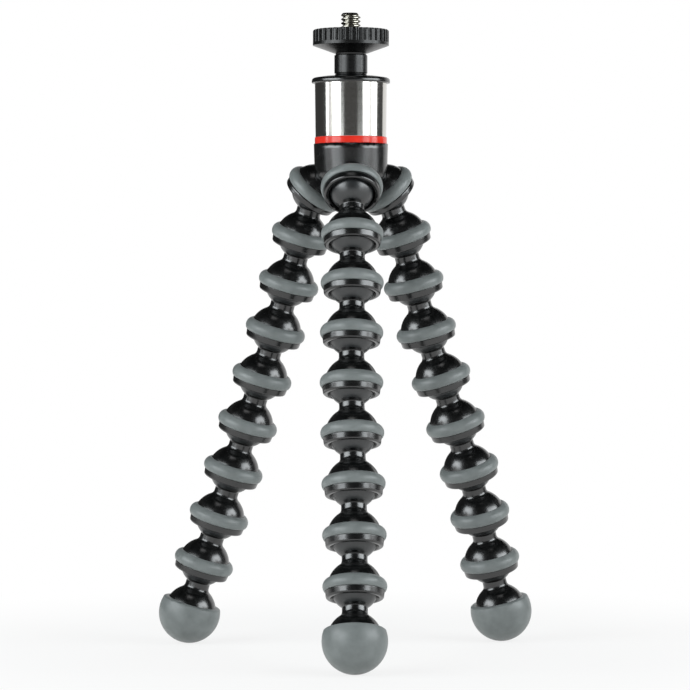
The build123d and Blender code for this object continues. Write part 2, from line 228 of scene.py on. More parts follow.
# %% [markdown]
# ## Finishes
# A material in Blender is a small network of nodes. Every finish here starts from the real
# material and how its surface was made. Colours are written as the sRGB hex values that a
# painter's chart gives, and one function turns them to the linear values that Cycles needs.

# %% Helpers for finishes
def linear(code):
    """Linear colour of an sRGB hex value such as #3A4B5C."""
    shares = [int(code[place:place + 2], 16) / 255 for place in (1, 3, 5)]
    return (*(s / 12.92 if s <= 0.04045 else ((s + 0.055) / 1.055) ** 2.4 for s in shares), 1.0)


def add_node(finish, kind, settings=None, inputs=None, links=None):
    """Adds a node with its settings, its input values, and links as {input: output socket}."""
    node = finish.node_tree.nodes.new(kind)
    for name, value in (settings or {}).items():
        setattr(node, name, value)
    for name, value in (inputs or {}).items():
        node.inputs[name].default_value = value
    for name, socket in (links or {}).items():
        finish.node_tree.links.new(socket, node.inputs[name])
    return node


def new_finish(name):
    """An empty material, with its Principled shader and its object coordinates."""
    finish = bpy.data.materials.new(name)
    finish.use_nodes = True
    finish.node_tree.nodes.clear()
    shader = add_node(finish, "ShaderNodeBsdfPrincipled")
    add_node(finish, "ShaderNodeOutputMaterial", links={"Surface": shader.outputs["BSDF"]})
    places = add_node(finish, "ShaderNodeTexCoord").outputs["Object"]
    return finish, shader, places


def feed(finish, shader, name, socket):
    finish.node_tree.links.new(socket, shader.inputs[name])


print("mid grey #808080 is", round(linear("#808080")[0], 3), "in linear light")

# %% [markdown]
# Four small steps come back in most finishes: a noise of a real size in millimetres, a colour
# that changes with it, a roughness that follows it, and a bump of a real depth.

# %% Helpers for noise
def add_noise(finish, places, size_mm, detail, roughness=0.5):
    """A noise whose features are about this many millimetres across."""
    noise = add_node(finish, "ShaderNodeTexNoise", links={"Vector": places},
                     inputs={"Scale": 1 / (size_mm * MM), "Detail": detail, "Roughness": roughness})
    return noise.outputs["Fac"]


def add_shade(finish, noise, first, second):
    """A colour between two stops. Each stop is a value of the noise and an sRGB hex value."""
    ramp = add_node(finish, "ShaderNodeValToRGB", links={"Fac": noise})
    for element, (value, code) in zip(ramp.color_ramp.elements, (first, second)):
        element.position, element.color = value, linear(code)
    return ramp.outputs["Color"]


def add_gloss(finish, noise, span, roughness):
    """A roughness that goes over its own (low, high) while the noise goes over its span."""
    gloss = add_node(finish, "ShaderNodeMapRange", links={"Value": noise},
                     inputs={"From Min": span[0], "From Max": span[1],
                             "To Min": roughness[0], "To Max": roughness[1]})
    return gloss.outputs["Result"]


def add_bump(finish, noise, strength, depth_mm):
    bump = add_node(finish, "ShaderNodeBump", links={"Height": noise},
                    inputs={"Strength": strength, "Distance": depth_mm * MM})
    return bump.outputs["Normal"]


NOISE_MIDDLE = (0.3, 0.7)  # most of a noise's values lie between these
print(f"a noise lies mostly between {NOISE_MIDDLE[0]} and {NOISE_MIDDLE[1]}")

# %% [markdown]
# ### Moulded black plastic
# The links, the hub and the collar are ABS, injection moulded in polished steel tools. The eye
# gets a deep black with clear, slightly wavy reflections. Fine scuffs from handling make the
# gloss uneven, so the roughness follows a noise, and a very low bump gives the waviness.

# %% Gloss black ABS
def gloss_black_abs():
    finish, shader, places = new_finish("gloss_black_abs")
    scuffs = add_noise(finish, places, size_mm=2.5, detail=6.0, roughness=0.65)
    waves = add_noise(finish, places, size_mm=3.0, detail=1.0)
    shade = add_shade(finish, scuffs, (0.35, "#050606"), (0.75, "#0B0C0C"))
    feed(finish, shader, "Base Color", shade)
    gloss = add_gloss(finish, scuffs, span=(0.35, 0.7), roughness=(0.2, 0.28))
    feed(finish, shader, "Roughness", gloss)
    feed(finish, shader, "Normal", add_bump(finish, waves, strength=0.06, depth_mm=0.05))
    shader.inputs["IOR"].default_value = 1.74  # over the 1.54 of ABS, matched to its polished skin
    return finish


GLOSS_BLACK = gloss_black_abs()
print(GLOSS_BLACK.name, "has", len(GLOSS_BLACK.node_tree.nodes), "nodes")

# %% [markdown]
# ### Satin balls
# The ball of each link rubs in its socket, which dulls the moulding to an even satin grey-black.
# It is the same plastic, with a paler base and a rougher surface.

# %% Satin ball plastic
def satin_ball_abs():
    finish, shader, places = new_finish("satin_ball_abs")
    rub = add_noise(finish, places, size_mm=1.2, detail=5.0)
    shade = add_shade(finish, rub, (0.3, "#1B1D1E"), (0.75, "#242728"))
    feed(finish, shader, "Base Color", shade)
    shader.inputs["Roughness"].default_value = 0.32
    shader.inputs["IOR"].default_value = 1.7
    return finish


SATIN_BALL = satin_ball_abs()
print(SATIN_BALL.name, "has", len(SATIN_BALL.node_tree.nodes), "nodes")

# %% [markdown]
# ### Grey rubber
# The grip rings and feet are a soft thermoplastic rubber, moulded over or pushed on. It has no
# gloss of its own: a broad, weak sheen, a fine matt grain from the spark-eroded tool, and faint
# blotches where fingers and dust have been. The real grain is 0.1 mm, too fine to show, so it is
# drawn at 0.35 mm.

# %% Soft grey rubber
def soft_grey_rubber():
    finish, shader, places = new_finish("soft_grey_rubber")
    blotches = add_noise(finish, places, size_mm=4.0, detail=4.0)
    grain = add_noise(finish, places, size_mm=0.35, detail=2.0)
    shade = add_shade(finish, blotches, (0.3, "#6A6F6E"), (0.7, "#797E7D"))
    feed(finish, shader, "Base Color", shade)
    feed(finish, shader, "Normal", add_bump(finish, grain, strength=0.25, depth_mm=0.03))
    shader.inputs["Roughness"].default_value = 0.4
    shader.inputs["IOR"].default_value = 1.5
    return finish


GREY_RUBBER = soft_grey_rubber()
print(GREY_RUBBER.name, "has", len(GREY_RUBBER.node_tree.nodes), "nodes")

# %% [markdown]
# ### The head's satin plastic
# The seat, the stem and the lock wheel are glass-filled nylon. Its moulded surface is black with
# a finer, duller gloss than ABS, and its glass fibres leave a very low, fine unevenness.

# %% Satin black nylon
def satin_black_nylon():
    finish, shader, places = new_finish("satin_black_nylon")
    flow = add_noise(finish, places, size_mm=0.9, detail=4.0)
    gloss = add_gloss(finish, flow, span=NOISE_MIDDLE, roughness=(0.26, 0.34))
    feed(finish, shader, "Roughness", gloss)
    feed(finish, shader, "Normal", add_bump(finish, flow, strength=0.05, depth_mm=0.03))
    shader.inputs["Base Color"].default_value = linear("#030404")
    shader.inputs["IOR"].default_value = 1.5
    return finish


SATIN_NYLON = satin_black_nylon()
print(SATIN_NYLON.name, "has", len(SATIN_NYLON.node_tree.nodes), "nodes")

# %% [markdown]
# ### Turned stainless steel
# The sleeve is a stainless tube, finished on a lathe with a fine abrasive. The abrasive leaves
# rings round the tube about 0.05 mm apart, drawn here 0.3 mm apart so that they show. They blur
# reflections up and down, and leave them sharp from side to side, which is why the lamps show as
# clean upright bands.

# %% Turned steel sleeve
def turned_stainless():
    finish, shader, places = new_finish("turned_stainless")
    rings = add_node(finish, "ShaderNodeMapping", inputs={"Scale": (0.02, 0.02, 1.0)},
                     links={"Vector": places})  # stretches the noise into rings round Z
    lines = add_noise(finish, rings.outputs["Vector"], size_mm=0.3, detail=3.0, roughness=0.6)
    gloss = add_gloss(finish, lines, span=NOISE_MIDDLE, roughness=(0.1, 0.16))
    feed(finish, shader, "Roughness", gloss)
    feed(finish, shader, "Normal", add_bump(finish, lines, strength=0.2, depth_mm=0.02))
    shader.inputs["Metallic"].default_value = 1.0
    shader.inputs["Base Color"].default_value = linear("#CFCDC8")
    return finish


TURNED_STEEL = turned_stainless()
print(TURNED_STEEL.name, "has", len(TURNED_STEEL.node_tree.nodes), "nodes")

# %% [markdown]
# ### Red accent ring and bright stud
# The accent ring is the same polished moulding as the links, coloured red through and through.
# The stud is steel with a bright zinc plating, which mirrors the studio in small bright and dark
# bands along its thread.

# %% Red ABS and plated steel
def gloss_red_abs():
    finish, shader, places = new_finish("gloss_red_abs")
    tint = add_noise(finish, places, size_mm=3.0, detail=3.0)
    feed(finish, shader, "Base Color", add_shade(finish, tint, (0.3, "#D42C1E"), (0.7, "#E03527")))
    shader.inputs["Roughness"].default_value = 0.14
    shader.inputs["IOR"].default_value = 1.5
    return finish


def bright_zinc_steel():
    finish, shader, places = new_finish("bright_zinc_steel")
    cloud = add_noise(finish, places, size_mm=0.8, detail=4.0)
    gloss = add_gloss(finish, cloud, span=NOISE_MIDDLE, roughness=(0.14, 0.3))
    feed(finish, shader, "Roughness", gloss)
    shader.inputs["Metallic"].default_value = 1.0
    shader.inputs["Base Color"].default_value = linear("#A5A299")
    return finish


GLOSS_RED = gloss_red_abs()
BRIGHT_ZINC = bright_zinc_steel()
print(GLOSS_RED.name, "and", BRIGHT_ZINC.name)

# %% [markdown]
# ## Legs
# One link is a single moulding: a ball, a narrow waist, a dome, and inside the dome a socket
# that snaps over the next ball. The waist runs into the ball and into the dome in small hollows,
# which the mould's rounded edges leave. The outline runs from the top of the ball, down the waist,
# over the dome and round the lip, and back up inside the socket. It is spun once, and each of
# the legs' links is a copy of that form at its own place.

# %% One link
BALL_R = 7.4
CAVITY_R = 7.5
DOME_R = 8.4
LINK_PITCH = (balls["front"][1] - balls["front"][0]).length  # from a link's ball to its socket
NECK_R = 3.95
BALL_HOLLOW_R = 0.5  # the waist runs into the ball in a hollow of this radius
DOME_HOLLOW_R = 1.8  # and into the dome in this one
HOLLOW_STEPS = 10
BAND_R = 9.1  # plain band under the grip ring
BAND_FOOT_R = 8.9
SHOULDER = -1.3  # height of the seat of the grip ring, from the socket centre
LIP = -3.5  # height of the socket's end face
LIP_ROUND = 0.7
LIP_FLARE_R = 7.585
LINK_EASE = 0.12  # its sharp outer edges are broken by this much
MOUTH = -2.6  # height at which the socket grips the ball
ARC_STEPS = 20
SMALL_ARC_STEPS = 6


def hollow_between(round_r, hollow_r):
    """Centre of a hollow that touches the waist and a ball at the origin, and its angle there."""
    across = NECK_R + hollow_r
    along = math.sqrt((round_r + hollow_r)**2 - across**2)
    return across, along, math.degrees(math.atan2(across, along))


def ball_and_waist():
    """From the top of a ball, down its waist, to the start of the dome."""
    outline = start_outline(0, LINK_PITCH + BALL_R)
    across, along, ball_end = hollow_between(BALL_R, BALL_HOLLOW_R)
    arc_about(outline, 0, LINK_PITCH, 180 - ball_end, 2 * ARC_STEPS)
    arc_about(outline, across, LINK_PITCH - along, ball_end - 90, HOLLOW_STEPS)
    across, along, dome_start = hollow_between(DOME_R, DOME_HOLLOW_R)
    line_to(outline, (NECK_R, along))
    arc_about(outline, across, along, dome_start - 90, HOLLOW_STEPS)
    return outline


DOME_START = hollow_between(DOME_R, DOME_HOLLOW_R)[2]


def link_form():
    outline = ball_and_waist()
    mouth_r = math.sqrt(CAVITY_R**2 - MOUTH**2)
    arc_about(outline, 0, 0, 90 - DOME_START, ARC_STEPS)
    line_to(outline, (DOME_R, SHOULDER), (BAND_R, SHOULDER), (BAND_FOOT_R, LIP + LIP_ROUND))
    arc_about(outline, BAND_FOOT_R - LIP_ROUND, LIP + LIP_ROUND, 90, SMALL_ARC_STEPS)
    line_to(outline, (LIP_FLARE_R, LIP), (mouth_r, MOUTH))
    arc_about(outline, 0, 0, -90 - math.degrees(math.asin(-MOUTH / CAVITY_R)), ARC_STEPS)
    ease_corners(outline, [(BAND_R, SHOULDER), (LIP_FLARE_R, LIP)], LINK_EASE)
    hold_straights(outline)
    return spin_closed(outline)


link = link_form()
print("a link has", len(link.faces), "faces")

# %% [markdown]
# A grip ring is moulded by itself and stretched over the dome until it seats on the shoulder. Its
# outside is one crowned arc and its inside follows the dome, so its outline is two arcs that meet
# in a thin upper edge, and a flat underside.

# %% One grip ring
GRIP_R = 9.88
GRIP_SECTION_R = 2.46  # the crown of the ring is an arc of this radius
GRIP_RISE = 0.35  # its widest circle, above the socket centre
GRIP_SEAT_R = 8.45
GRIP_FOOT = -1.25  # height of its flat underside
GRIP_HEEL_EASE = 0.25
GRIP_TOP_EASE = 0.08


def grip_form():
    crown_r = GRIP_R - GRIP_SECTION_R
    foot_angle = math.degrees(math.asin((GRIP_RISE - GRIP_FOOT) / GRIP_SECTION_R))
    reach = math.hypot(crown_r, GRIP_RISE)
    along = (reach**2 + GRIP_SEAT_R**2 - GRIP_SECTION_R**2) / (2 * reach)
    top_angle = math.atan2(GRIP_RISE, crown_r) + math.acos(along / GRIP_SEAT_R)
    top = (GRIP_SEAT_R * math.cos(top_angle), GRIP_SEAT_R * math.sin(top_angle))
    crown_angle = math.degrees(math.atan2(top[1] - GRIP_RISE, top[0] - crown_r))
    heel = (crown_r + GRIP_SECTION_R * math.cos(math.radians(foot_angle)), GRIP_FOOT)
    outline = start_outline(*heel)
    arc_about(outline, crown_r, GRIP_RISE, -foot_angle - crown_angle, ARC_STEPS)
    arc_about(outline, 0, 0, math.degrees(top_angle), SMALL_ARC_STEPS)
    line_to(outline, (GRIP_SEAT_R, GRIP_FOOT))
    close_outline(outline)
    ease_corners(outline, [heel], GRIP_HEEL_EASE)
    ease_corners(outline, [top], GRIP_TOP_EASE)
    hold_straights(outline)
    return spin_closed(outline)


grip = grip_form()
print("a grip ring has", len(grip.faces), "faces")

# %% [markdown]
# The links of a leg are all alike, so the loop only changes the place. Each link and its ring
# ride on the link's own CAD body. The upper part of a link, above its dome, is the ball that
# rubs in a socket, so its faces get the satin finish. The satin stops short of the waist, and the
# black gloss left on the lower ball is painted shade, for the shadow between the ball and the dome.

# %% All links and rings
SATIN_STOP_ABOVE_PAINTED_SHADE = 5.6  # the satin wear ends this far below the ball's centre, so that the black gloss under it paints the shade between ball and dome


def satin_above(mesh, centre, direction, height):
    """Gives the second finish to the faces that lie further up the link than this height."""
    for face in mesh.polygons:
        if (face.center / MM - centre) @ -direction > height:
            face.material_index = 1


for leg in LEGS:
    for number in range(1, LINK_COUNT + 1):
        direction = directions[leg][number - 1]
        centre = balls[leg][number - 1] + direction * LINK_PITCH
        node = f"{leg}_leg_link_{number}"
        mesh = mesh_from(link, f"{node}_moulding", along_leg(centre, direction))
        add_piece(mesh, node, (GLOSS_BLACK, SATIN_BALL), node)
        # the black gloss left below the satin is painted shade under the ball
        satin_above(mesh, centre, direction, LINK_PITCH - SATIN_STOP_ABOVE_PAINTED_SHADE)
        ring_node = f"{leg}_leg_grip_ring_{number}"
        mesh = mesh_from(grip, f"{ring_node}_rubber", along_leg(centre, direction))
        add_piece(mesh, node, (GREY_RUBBER,), ring_node)
print(len(LEGS) * LINK_COUNT, "links, each with its ring")

# %% [markdown]
# ## Feet
# A foot is a hard core with a ball, and a rubber half ball pushed over the core's dome. They are
# two outlines, because the photo shows a black dome above a grey rim with a rounded edge.

# %% Foot core and rubber
FOOT_RIM_RISE = 3.6  # rim of the rubber, above the centre of its half ball
FOOT_RIM_ROUND = 1.4


def foot_core_form():
    outline = ball_and_waist()
    arc_about(outline, 0, 0, 180 - DOME_START, 2 * ARC_STEPS)
    return spin_closed(outline)


def foot_rubber_form():
    rim = FOOT_RIM_RISE - FOOT_DROP
    outer_rim_r = math.sqrt(FOOT_R**2 - FOOT_RIM_RISE**2)
    inner_rim_r = math.sqrt(GRIP_SEAT_R**2 - rim**2)
    outer_angle = math.degrees(math.atan2(FOOT_RIM_RISE, outer_rim_r))
    inner_angle = math.degrees(math.atan2(rim, inner_rim_r))
    outline = start_outline(0, -FOOT_DROP - FOOT_R)
    arc_about(outline, 0, -FOOT_DROP, -90 - outer_angle, 2 * ARC_STEPS)
    line_to(outline, (inner_rim_r, rim))
    arc_about(outline, 0, 0, 90 + inner_angle, 2 * ARC_STEPS)
    ease_corners(outline, [(outer_rim_r, rim)], FOOT_RIM_ROUND)
    return spin_closed(outline)


foot_core, foot_rubber = foot_core_form(), foot_rubber_form()
for leg in LEGS:
    direction = directions[leg][-1]
    centre = balls[leg][-1] + direction * LINK_PITCH
    node = f"{leg}_leg_foot"
    mesh = mesh_from(foot_core, f"{node}_core", along_leg(centre, direction))
    add_piece(mesh, node, (GLOSS_BLACK, SATIN_BALL), node)
    # the black gloss left below the satin is painted shade under the foot's ball
    satin_above(mesh, centre, direction, LINK_PITCH - SATIN_STOP_ABOVE_PAINTED_SHADE)
    mesh = mesh_from(foot_rubber, f"{node}_rubber", along_leg(centre, direction))
    add_piece(mesh, node, (GREY_RUBBER,), node)
print("feet reach down to", round(min(v.co.z for v in mesh.vertices) / MM, 3), "mm")

# %% [markdown]
# ## Hub
# The hub is one moulding: a tapered body with three sockets that point down and outwards. Its
# form comes from cutting and joining round forms, which CAD does cleanly. So the lesson takes a
# copy of the CAD mesh, merges its loose triangles, and shades it smooth, with its real edges
# kept crisp. Narrow triangles beside large ones would bend the shading, so a Weighted Normal
# modifier lets the large faces set it. The grip rings on its sockets are the same spun form as
# on the links.

# %% Hub body and its rings
HUB_SOCKET_DIP = 47  # degrees that each socket points below level
HUB_SMOOTH_ANGLE = math.radians(20)
HUB_FLAT_ANGLE = math.radians(0.3)  # faces that turn less than this are one
HUB_FACE_WEIGHT = 80  # over the usual 50, in favour of large faces


def merged_copy(node, name):
    """A smooth copy of a CAD node's mesh, at the same place. Its large faces set the shading."""
    form = bmesh.new()
    form.from_mesh(nodes[node].data)
    bmesh.ops.remove_doubles(form, verts=form.verts, dist=MERGE * MM)
    bmesh.ops.dissolve_limit(form, angle_limit=HUB_FLAT_ANGLE, verts=form.verts, edges=form.edges)
    bmesh.ops.triangulate(form, faces=form.faces, quad_method="BEAUTY", ngon_method="BEAUTY")
    mesh = bpy.data.meshes.new(name)
    form.to_mesh(mesh)
    form.free()
    mesh.shade_smooth()
    mesh.set_sharp_from_angle(angle=HUB_SMOOTH_ANGLE)
    holder = bpy.data.objects.new(name, mesh)
    bpy.context.scene.collection.objects.link(holder)
    weigh = holder.modifiers.new("weigh", "WEIGHTED_NORMAL")
    weigh.weight, weigh.keep_sharp = HUB_FACE_WEIGHT, True
    view = bpy.context.evaluated_depsgraph_get()
    shaded = bpy.data.meshes.new_from_object(holder.evaluated_get(view))
    bpy.data.objects.remove(holder)
    shaded.name = name
    return shaded


mesh = merged_copy("hub_body", "hub_moulding")
add_piece(mesh, "hub", (GLOSS_BLACK,), "hub_body")
hub_rings = bmesh.new()
dip = math.radians(HUB_SOCKET_DIP)
for leg in LEGS:
    ball = balls[leg][0]
    outward = Vector((ball.x, ball.y, 0)).normalized()
    down = outward * math.cos(dip) - Vector((0, 0, math.sin(dip)))
    one_ring = mesh_from(grip, "one_ring", along_leg(ball, down))
    hub_rings.from_mesh(one_ring)
    bpy.data.meshes.remove(one_ring)
mesh = bpy.data.meshes.new("hub_grip_rubber")
hub_rings.to_mesh(mesh)
mesh.shade_smooth()
mesh.set_sharp_from_angle(angle=SMOOTH_ANGLE)
add_piece(mesh, "hub", (GREY_RUBBER,), "hub_grip_rings")
hub_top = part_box("accent_ring")[0].z / MM
print("hub ends at", round(hub_top, 2), "mm")

# %% [markdown]
# ## Accent ring, sleeve and collar
# These three stack on the hub. The accent ring and the sleeve are tubes with eased edges. The
# collar is a cap with a gently domed top, a rounded rim that overhangs the sleeve, and a mouth
# that opens towards the stem. All three are spun from their outlines.

# %% Stack on the hub
ACCENT_R = 11.6
ACCENT_EASE = 0.2
BORE_R = 10.6
SLEEVE_TOP_R = 11.55
SLEEVE_BOTTOM_R = 11.35
SLEEVE_EASE = 0.08
SPIGOT_GAP = 0.05  # between the collar's spigot and the sleeve's bore
COLLAR_R = 12.55
COLLAR_CROWN = 0.7
COLLAR_ROUND = 0.8
COLLAR_RIM_EASE = 0.25
COLLAR_MOUTH_R = 8.189
COLLAR_MOUTH_EASE = 0.3
COLLAR_GRIP_R = 7.389  # edge that holds the ball
COLLAR_GRIP_DROP = 1.9  # that edge, below the collar's top
HEAD_BALL_DROP = 6.3  # centre of the head's ball, below the collar's top
NEST_R = 8.6  # hollow round the head's ball
NEST_MERGE = 0.02  # mm, the hollow ends this close to where the outline starts
accent_low, accent_high = (corner.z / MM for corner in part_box("accent_ring"))
sleeve_low, sleeve_high = (corner.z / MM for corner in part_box("steel_sleeve"))
collar_low, collar_high = (corner.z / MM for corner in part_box("collar_cap"))


def tube_form(low, high, low_r, high_r, ease):
    outline = start_outline(low_r, low)
    line_to(outline, (high_r, high), (BORE_R, high), (BORE_R, low))
    close_outline(outline)
    ease_corners(outline, [(low_r, low), (high_r, high)], ease)
    hold_straights(outline)
    return spin_closed(outline)


def collar_form():
    spigot_r = BORE_R - SPIGOT_GAP
    edge_angle = math.degrees(math.asin((HEAD_BALL_DROP - COLLAR_GRIP_DROP) / NEST_R))
    split_angle = math.degrees(math.asin((collar_low - collar_high + HEAD_BALL_DROP) / NEST_R))
    outline = start_outline(COLLAR_GRIP_R, collar_high - COLLAR_GRIP_DROP)
    line_to(outline, (COLLAR_MOUTH_R, collar_high), (COLLAR_R, collar_high - COLLAR_CROWN),
            (COLLAR_R, sleeve_high), (spigot_r, sleeve_high), (spigot_r, collar_low),
            (NEST_R * math.cos(math.radians(split_angle)), collar_low))
    arc_about(outline, 0, collar_high - HEAD_BALL_DROP, -edge_angle + split_angle, ARC_STEPS)
    bmesh.ops.remove_doubles(outline, verts=outline.verts, dist=NEST_MERGE)
    ease_corners(outline, [(COLLAR_R, collar_high - COLLAR_CROWN)], COLLAR_ROUND)
    ease_corners(outline, [(COLLAR_R, sleeve_high)], COLLAR_RIM_EASE)
    ease_corners(outline, [(COLLAR_MOUTH_R, collar_high)], COLLAR_MOUTH_EASE)
    hold_straights(outline)
    return spin_closed(outline)


accent = tube_form(accent_low, accent_high, ACCENT_R, ACCENT_R, ACCENT_EASE)
mesh = mesh_from(accent, "accent_ring_red", Matrix())
add_piece(mesh, "hub", (GLOSS_RED,), "accent_ring")
sleeve = tube_form(sleeve_low, sleeve_high, SLEEVE_BOTTOM_R, SLEEVE_TOP_R, SLEEVE_EASE)
mesh = mesh_from(sleeve, "sleeve_steel_tube", Matrix())
add_piece(mesh, "hub", (TURNED_STEEL,), "steel_sleeve")
mesh = mesh_from(collar_form(), "collar_moulding", Matrix())
add_piece(mesh, "hub", (GLOSS_BLACK,), "collar_cap")
print("collar top at", round(collar_high, 2), "mm")

# %% [markdown]
# ## Head: seat, ball and stem
# The seat under the ball is hidden inside the sleeve, so its CAD solid stays and only gets its
# finish. The stem rises from the ball as one moulding, narrow below and wider where it carries
# the wheel.

# %% Seat and stem
HEAD_BALL_R = 8.5
STEM_NECK_R = 4.9
STEM_R = 5.3
STEM_RISE = 7.095  # underside of the stem, above the ball centre
STEM_HEIGHT = 5.95
STEM_BORE_R = 3.225
STEM_BORE_DEPTH = 5.0
STEM_EASE = 0.25
head_ball_z = collar_high - HEAD_BALL_DROP
nodes["ball_seat"].data.materials.clear()
nodes["ball_seat"].data.materials.append(SATIN_NYLON)


def stem_form():
    neck_angle = 180 - math.degrees(math.asin(STEM_NECK_R / HEAD_BALL_R))
    low, high = head_ball_z + STEM_RISE, head_ball_z + STEM_RISE + STEM_HEIGHT
    outline = start_outline(0, head_ball_z - HEAD_BALL_R)
    arc_about(outline, 0, head_ball_z, -neck_angle, 2 * ARC_STEPS)
    line_to(outline, (STEM_NECK_R, low), (STEM_R, low), (STEM_R, high), (STEM_BORE_R, high),
            (STEM_BORE_R, high - STEM_BORE_DEPTH), (0, high - STEM_BORE_DEPTH))
    ease_corners(outline, [(STEM_R, low), (STEM_R, high)], STEM_EASE)
    hold_straights(outline)
    return spin_closed(outline)


mesh = mesh_from(stem_form(), "ball_stem_moulding", Matrix())
add_piece(mesh, "head_ball", (SATIN_NYLON,), "ball_stem")
print("head ball's centre is", round(head_ball_z, 2), "mm up")

# %% [markdown]
# ## Lock wheel
# The wheel is a thick disc with a sloping underside and round flutes cut down its rim. The
# flutes stop above the lower edge, which leaves a plain band. A Boolean modifier cuts them with
# a ring of small cylinders, as a milling cutter would, and a Bevel modifier breaks every edge,
# because the thin bright lines along the flutes are what the eye sees first. A Weighted Normal
# modifier then keeps the large faces flat between the bevels.

# %% Wheel with flutes
WHEEL_R = 12.2
WHEEL_RIM_HEIGHT = 5.05
WHEEL_BORE_R = 3.295
WHEEL_BOSS_R = 4.9
WHEEL_BOSS_HEIGHT = 0.5
WHEEL_CONE_R = 5.5
WHEEL_CHAMFER = 0.4
FLUTE_COUNT = 36
FLUTE_R = 0.75
FLUTE_DEPTH = 0.7
FLUTE_STOP = 1.0  # height of the plain band below the flutes
FLUTE_FACETS = 20  # round each cutter
RIM_STEPS = 4 * FLUTE_COUNT  # facets round the blank
WHEEL_EASE = 0.1
WHEEL_FACE_WEIGHT = 100  # the most: the large faces alone set the shading
wheel_low, wheel_high = (corner.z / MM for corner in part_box("lock_wheel"))


def wheel_blank_form():
    rim_low = wheel_high - WHEEL_RIM_HEIGHT
    boss_top = wheel_low + WHEEL_BOSS_HEIGHT
    outline = start_outline(WHEEL_BORE_R, wheel_low)
    line_to(outline, (WHEEL_BOSS_R, wheel_low), (WHEEL_BOSS_R, boss_top), (WHEEL_CONE_R, boss_top),
            (WHEEL_R, rim_low), (WHEEL_R, wheel_high - WHEEL_CHAMFER),
            (WHEEL_R - WHEEL_CHAMFER, wheel_high), (WHEEL_BORE_R, wheel_high))
    close_outline(outline)
    return spin_closed(outline, steps=RIM_STEPS)


def flute_cutters_form():
    """A ring of cylinders that stand on the plain band and reach above the wheel."""
    cutters = bmesh.new()
    bottom = wheel_high - WHEEL_RIM_HEIGHT + FLUTE_STOP
    place = Matrix.Translation((WHEEL_R + FLUTE_R - FLUTE_DEPTH, 0, bottom + WHEEL_RIM_HEIGHT / 2))
    bmesh.ops.create_cone(cutters, cap_ends=True, segments=FLUTE_FACETS, radius1=FLUTE_R,
                          radius2=FLUTE_R, depth=WHEEL_RIM_HEIGHT, matrix=place)
    first = cutters.verts[:] + cutters.edges[:] + cutters.faces[:]
    bmesh.ops.spin(cutters, geom=first, cent=(0, 0, 0), axis=(0, 0, 1), steps=FLUTE_COUNT - 1,
                   angle=math.tau * (FLUTE_COUNT - 1) / FLUTE_COUNT, use_duplicate=True)
    return cutters


def cut_and_break_edges(blank, cutter, name, edge_width):
    """The blank less the cutter, with every edge bevelled, as a finished mesh."""
    made = {}
    for key, form in (("blank", blank), ("cutter", cutter)):
        made[key] = bpy.data.objects.new(key, mesh_from(form, key, Matrix()))
        bpy.context.scene.collection.objects.link(made[key])
    cut = made["blank"].modifiers.new("cut", "BOOLEAN")
    cut.operation, cut.solver, cut.object = "DIFFERENCE", "EXACT", made["cutter"]
    ease = made["blank"].modifiers.new("ease", "BEVEL")
    ease.width, ease.segments, ease.limit_method = edge_width * MM, 2, "ANGLE"
    ease.angle_limit = SMOOTH_ANGLE
    weigh = made["blank"].modifiers.new("weigh", "WEIGHTED_NORMAL")
    weigh.weight, weigh.keep_sharp = WHEEL_FACE_WEIGHT, False
    view = bpy.context.evaluated_depsgraph_get()
    mesh = bpy.data.meshes.new_from_object(made["blank"].evaluated_get(view))
    mesh.name = name
    for part in made.values():
        bpy.data.objects.remove(part)
    return mesh


wheel_mesh = cut_and_break_edges(wheel_blank_form(), flute_cutters_form(), "lock_wheel_moulding",
                                 WHEEL_EASE)
add_piece(wheel_mesh, "lock_wheel", (SATIN_NYLON,), "lock_wheel")
print("wheel has", len(wheel_mesh.polygons), "faces and", FLUTE_COUNT, "flutes")

# %% [markdown]
# ## Camera stud
# A camera thread is a quarter of an inch across, with twenty turns to the inch. The CAD solid
# is a plain shaft of the thread's outer size, so the visible thread is wound here: one tooth of
# the thread's outline is spun round the axis while it climbs by one pitch in each turn. The top
# is cut off level, closed, and given its small end chamfer.

# %% Thread
STUD_R = 3.175
THREAD_PITCH = 1.27
THREAD_ROOT_R = 2.45
THREAD_CREST = 0.22  # width of the flat crest
THREAD_ROOT = 0.12  # width of the flat root
THREAD_STEPS = 48  # facets round one turn
SPARE_TURNS = 2  # wound past the ends, and cut off
END_CHAMFER = 0.6
END_SHARE = 0.84  # radius of the chamfer's top, as a share of its foot's
LEVEL = 0.99  # a face whose normal points up by more than this is level
stud_low, stud_high = (corner.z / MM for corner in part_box("camera_stud"))


def wound_thread():
    """An open helix of the thread's outline, a little longer than the stud."""
    turns = math.ceil((stud_high - stud_low) / THREAD_PITCH) + SPARE_TURNS
    flank = (THREAD_PITCH - THREAD_CREST - THREAD_ROOT) / 2
    start = stud_low - THREAD_PITCH
    form = start_outline(THREAD_ROOT_R, start)
    line_to(form, (STUD_R, start + flank), (STUD_R, start + flank + THREAD_CREST),
            (THREAD_ROOT_R, start + THREAD_PITCH - THREAD_ROOT),
            (THREAD_ROOT_R, start + THREAD_PITCH))
    bmesh.ops.spin(form, geom=form.verts[:] + form.edges[:], cent=(0, 0, 0), axis=(0, 0, 1),
                   angle=math.tau * turns, steps=THREAD_STEPS * turns,
                   dvec=(0, 0, THREAD_PITCH / THREAD_STEPS))
    bmesh.ops.remove_doubles(form, verts=form.verts, dist=MERGE)
    return form


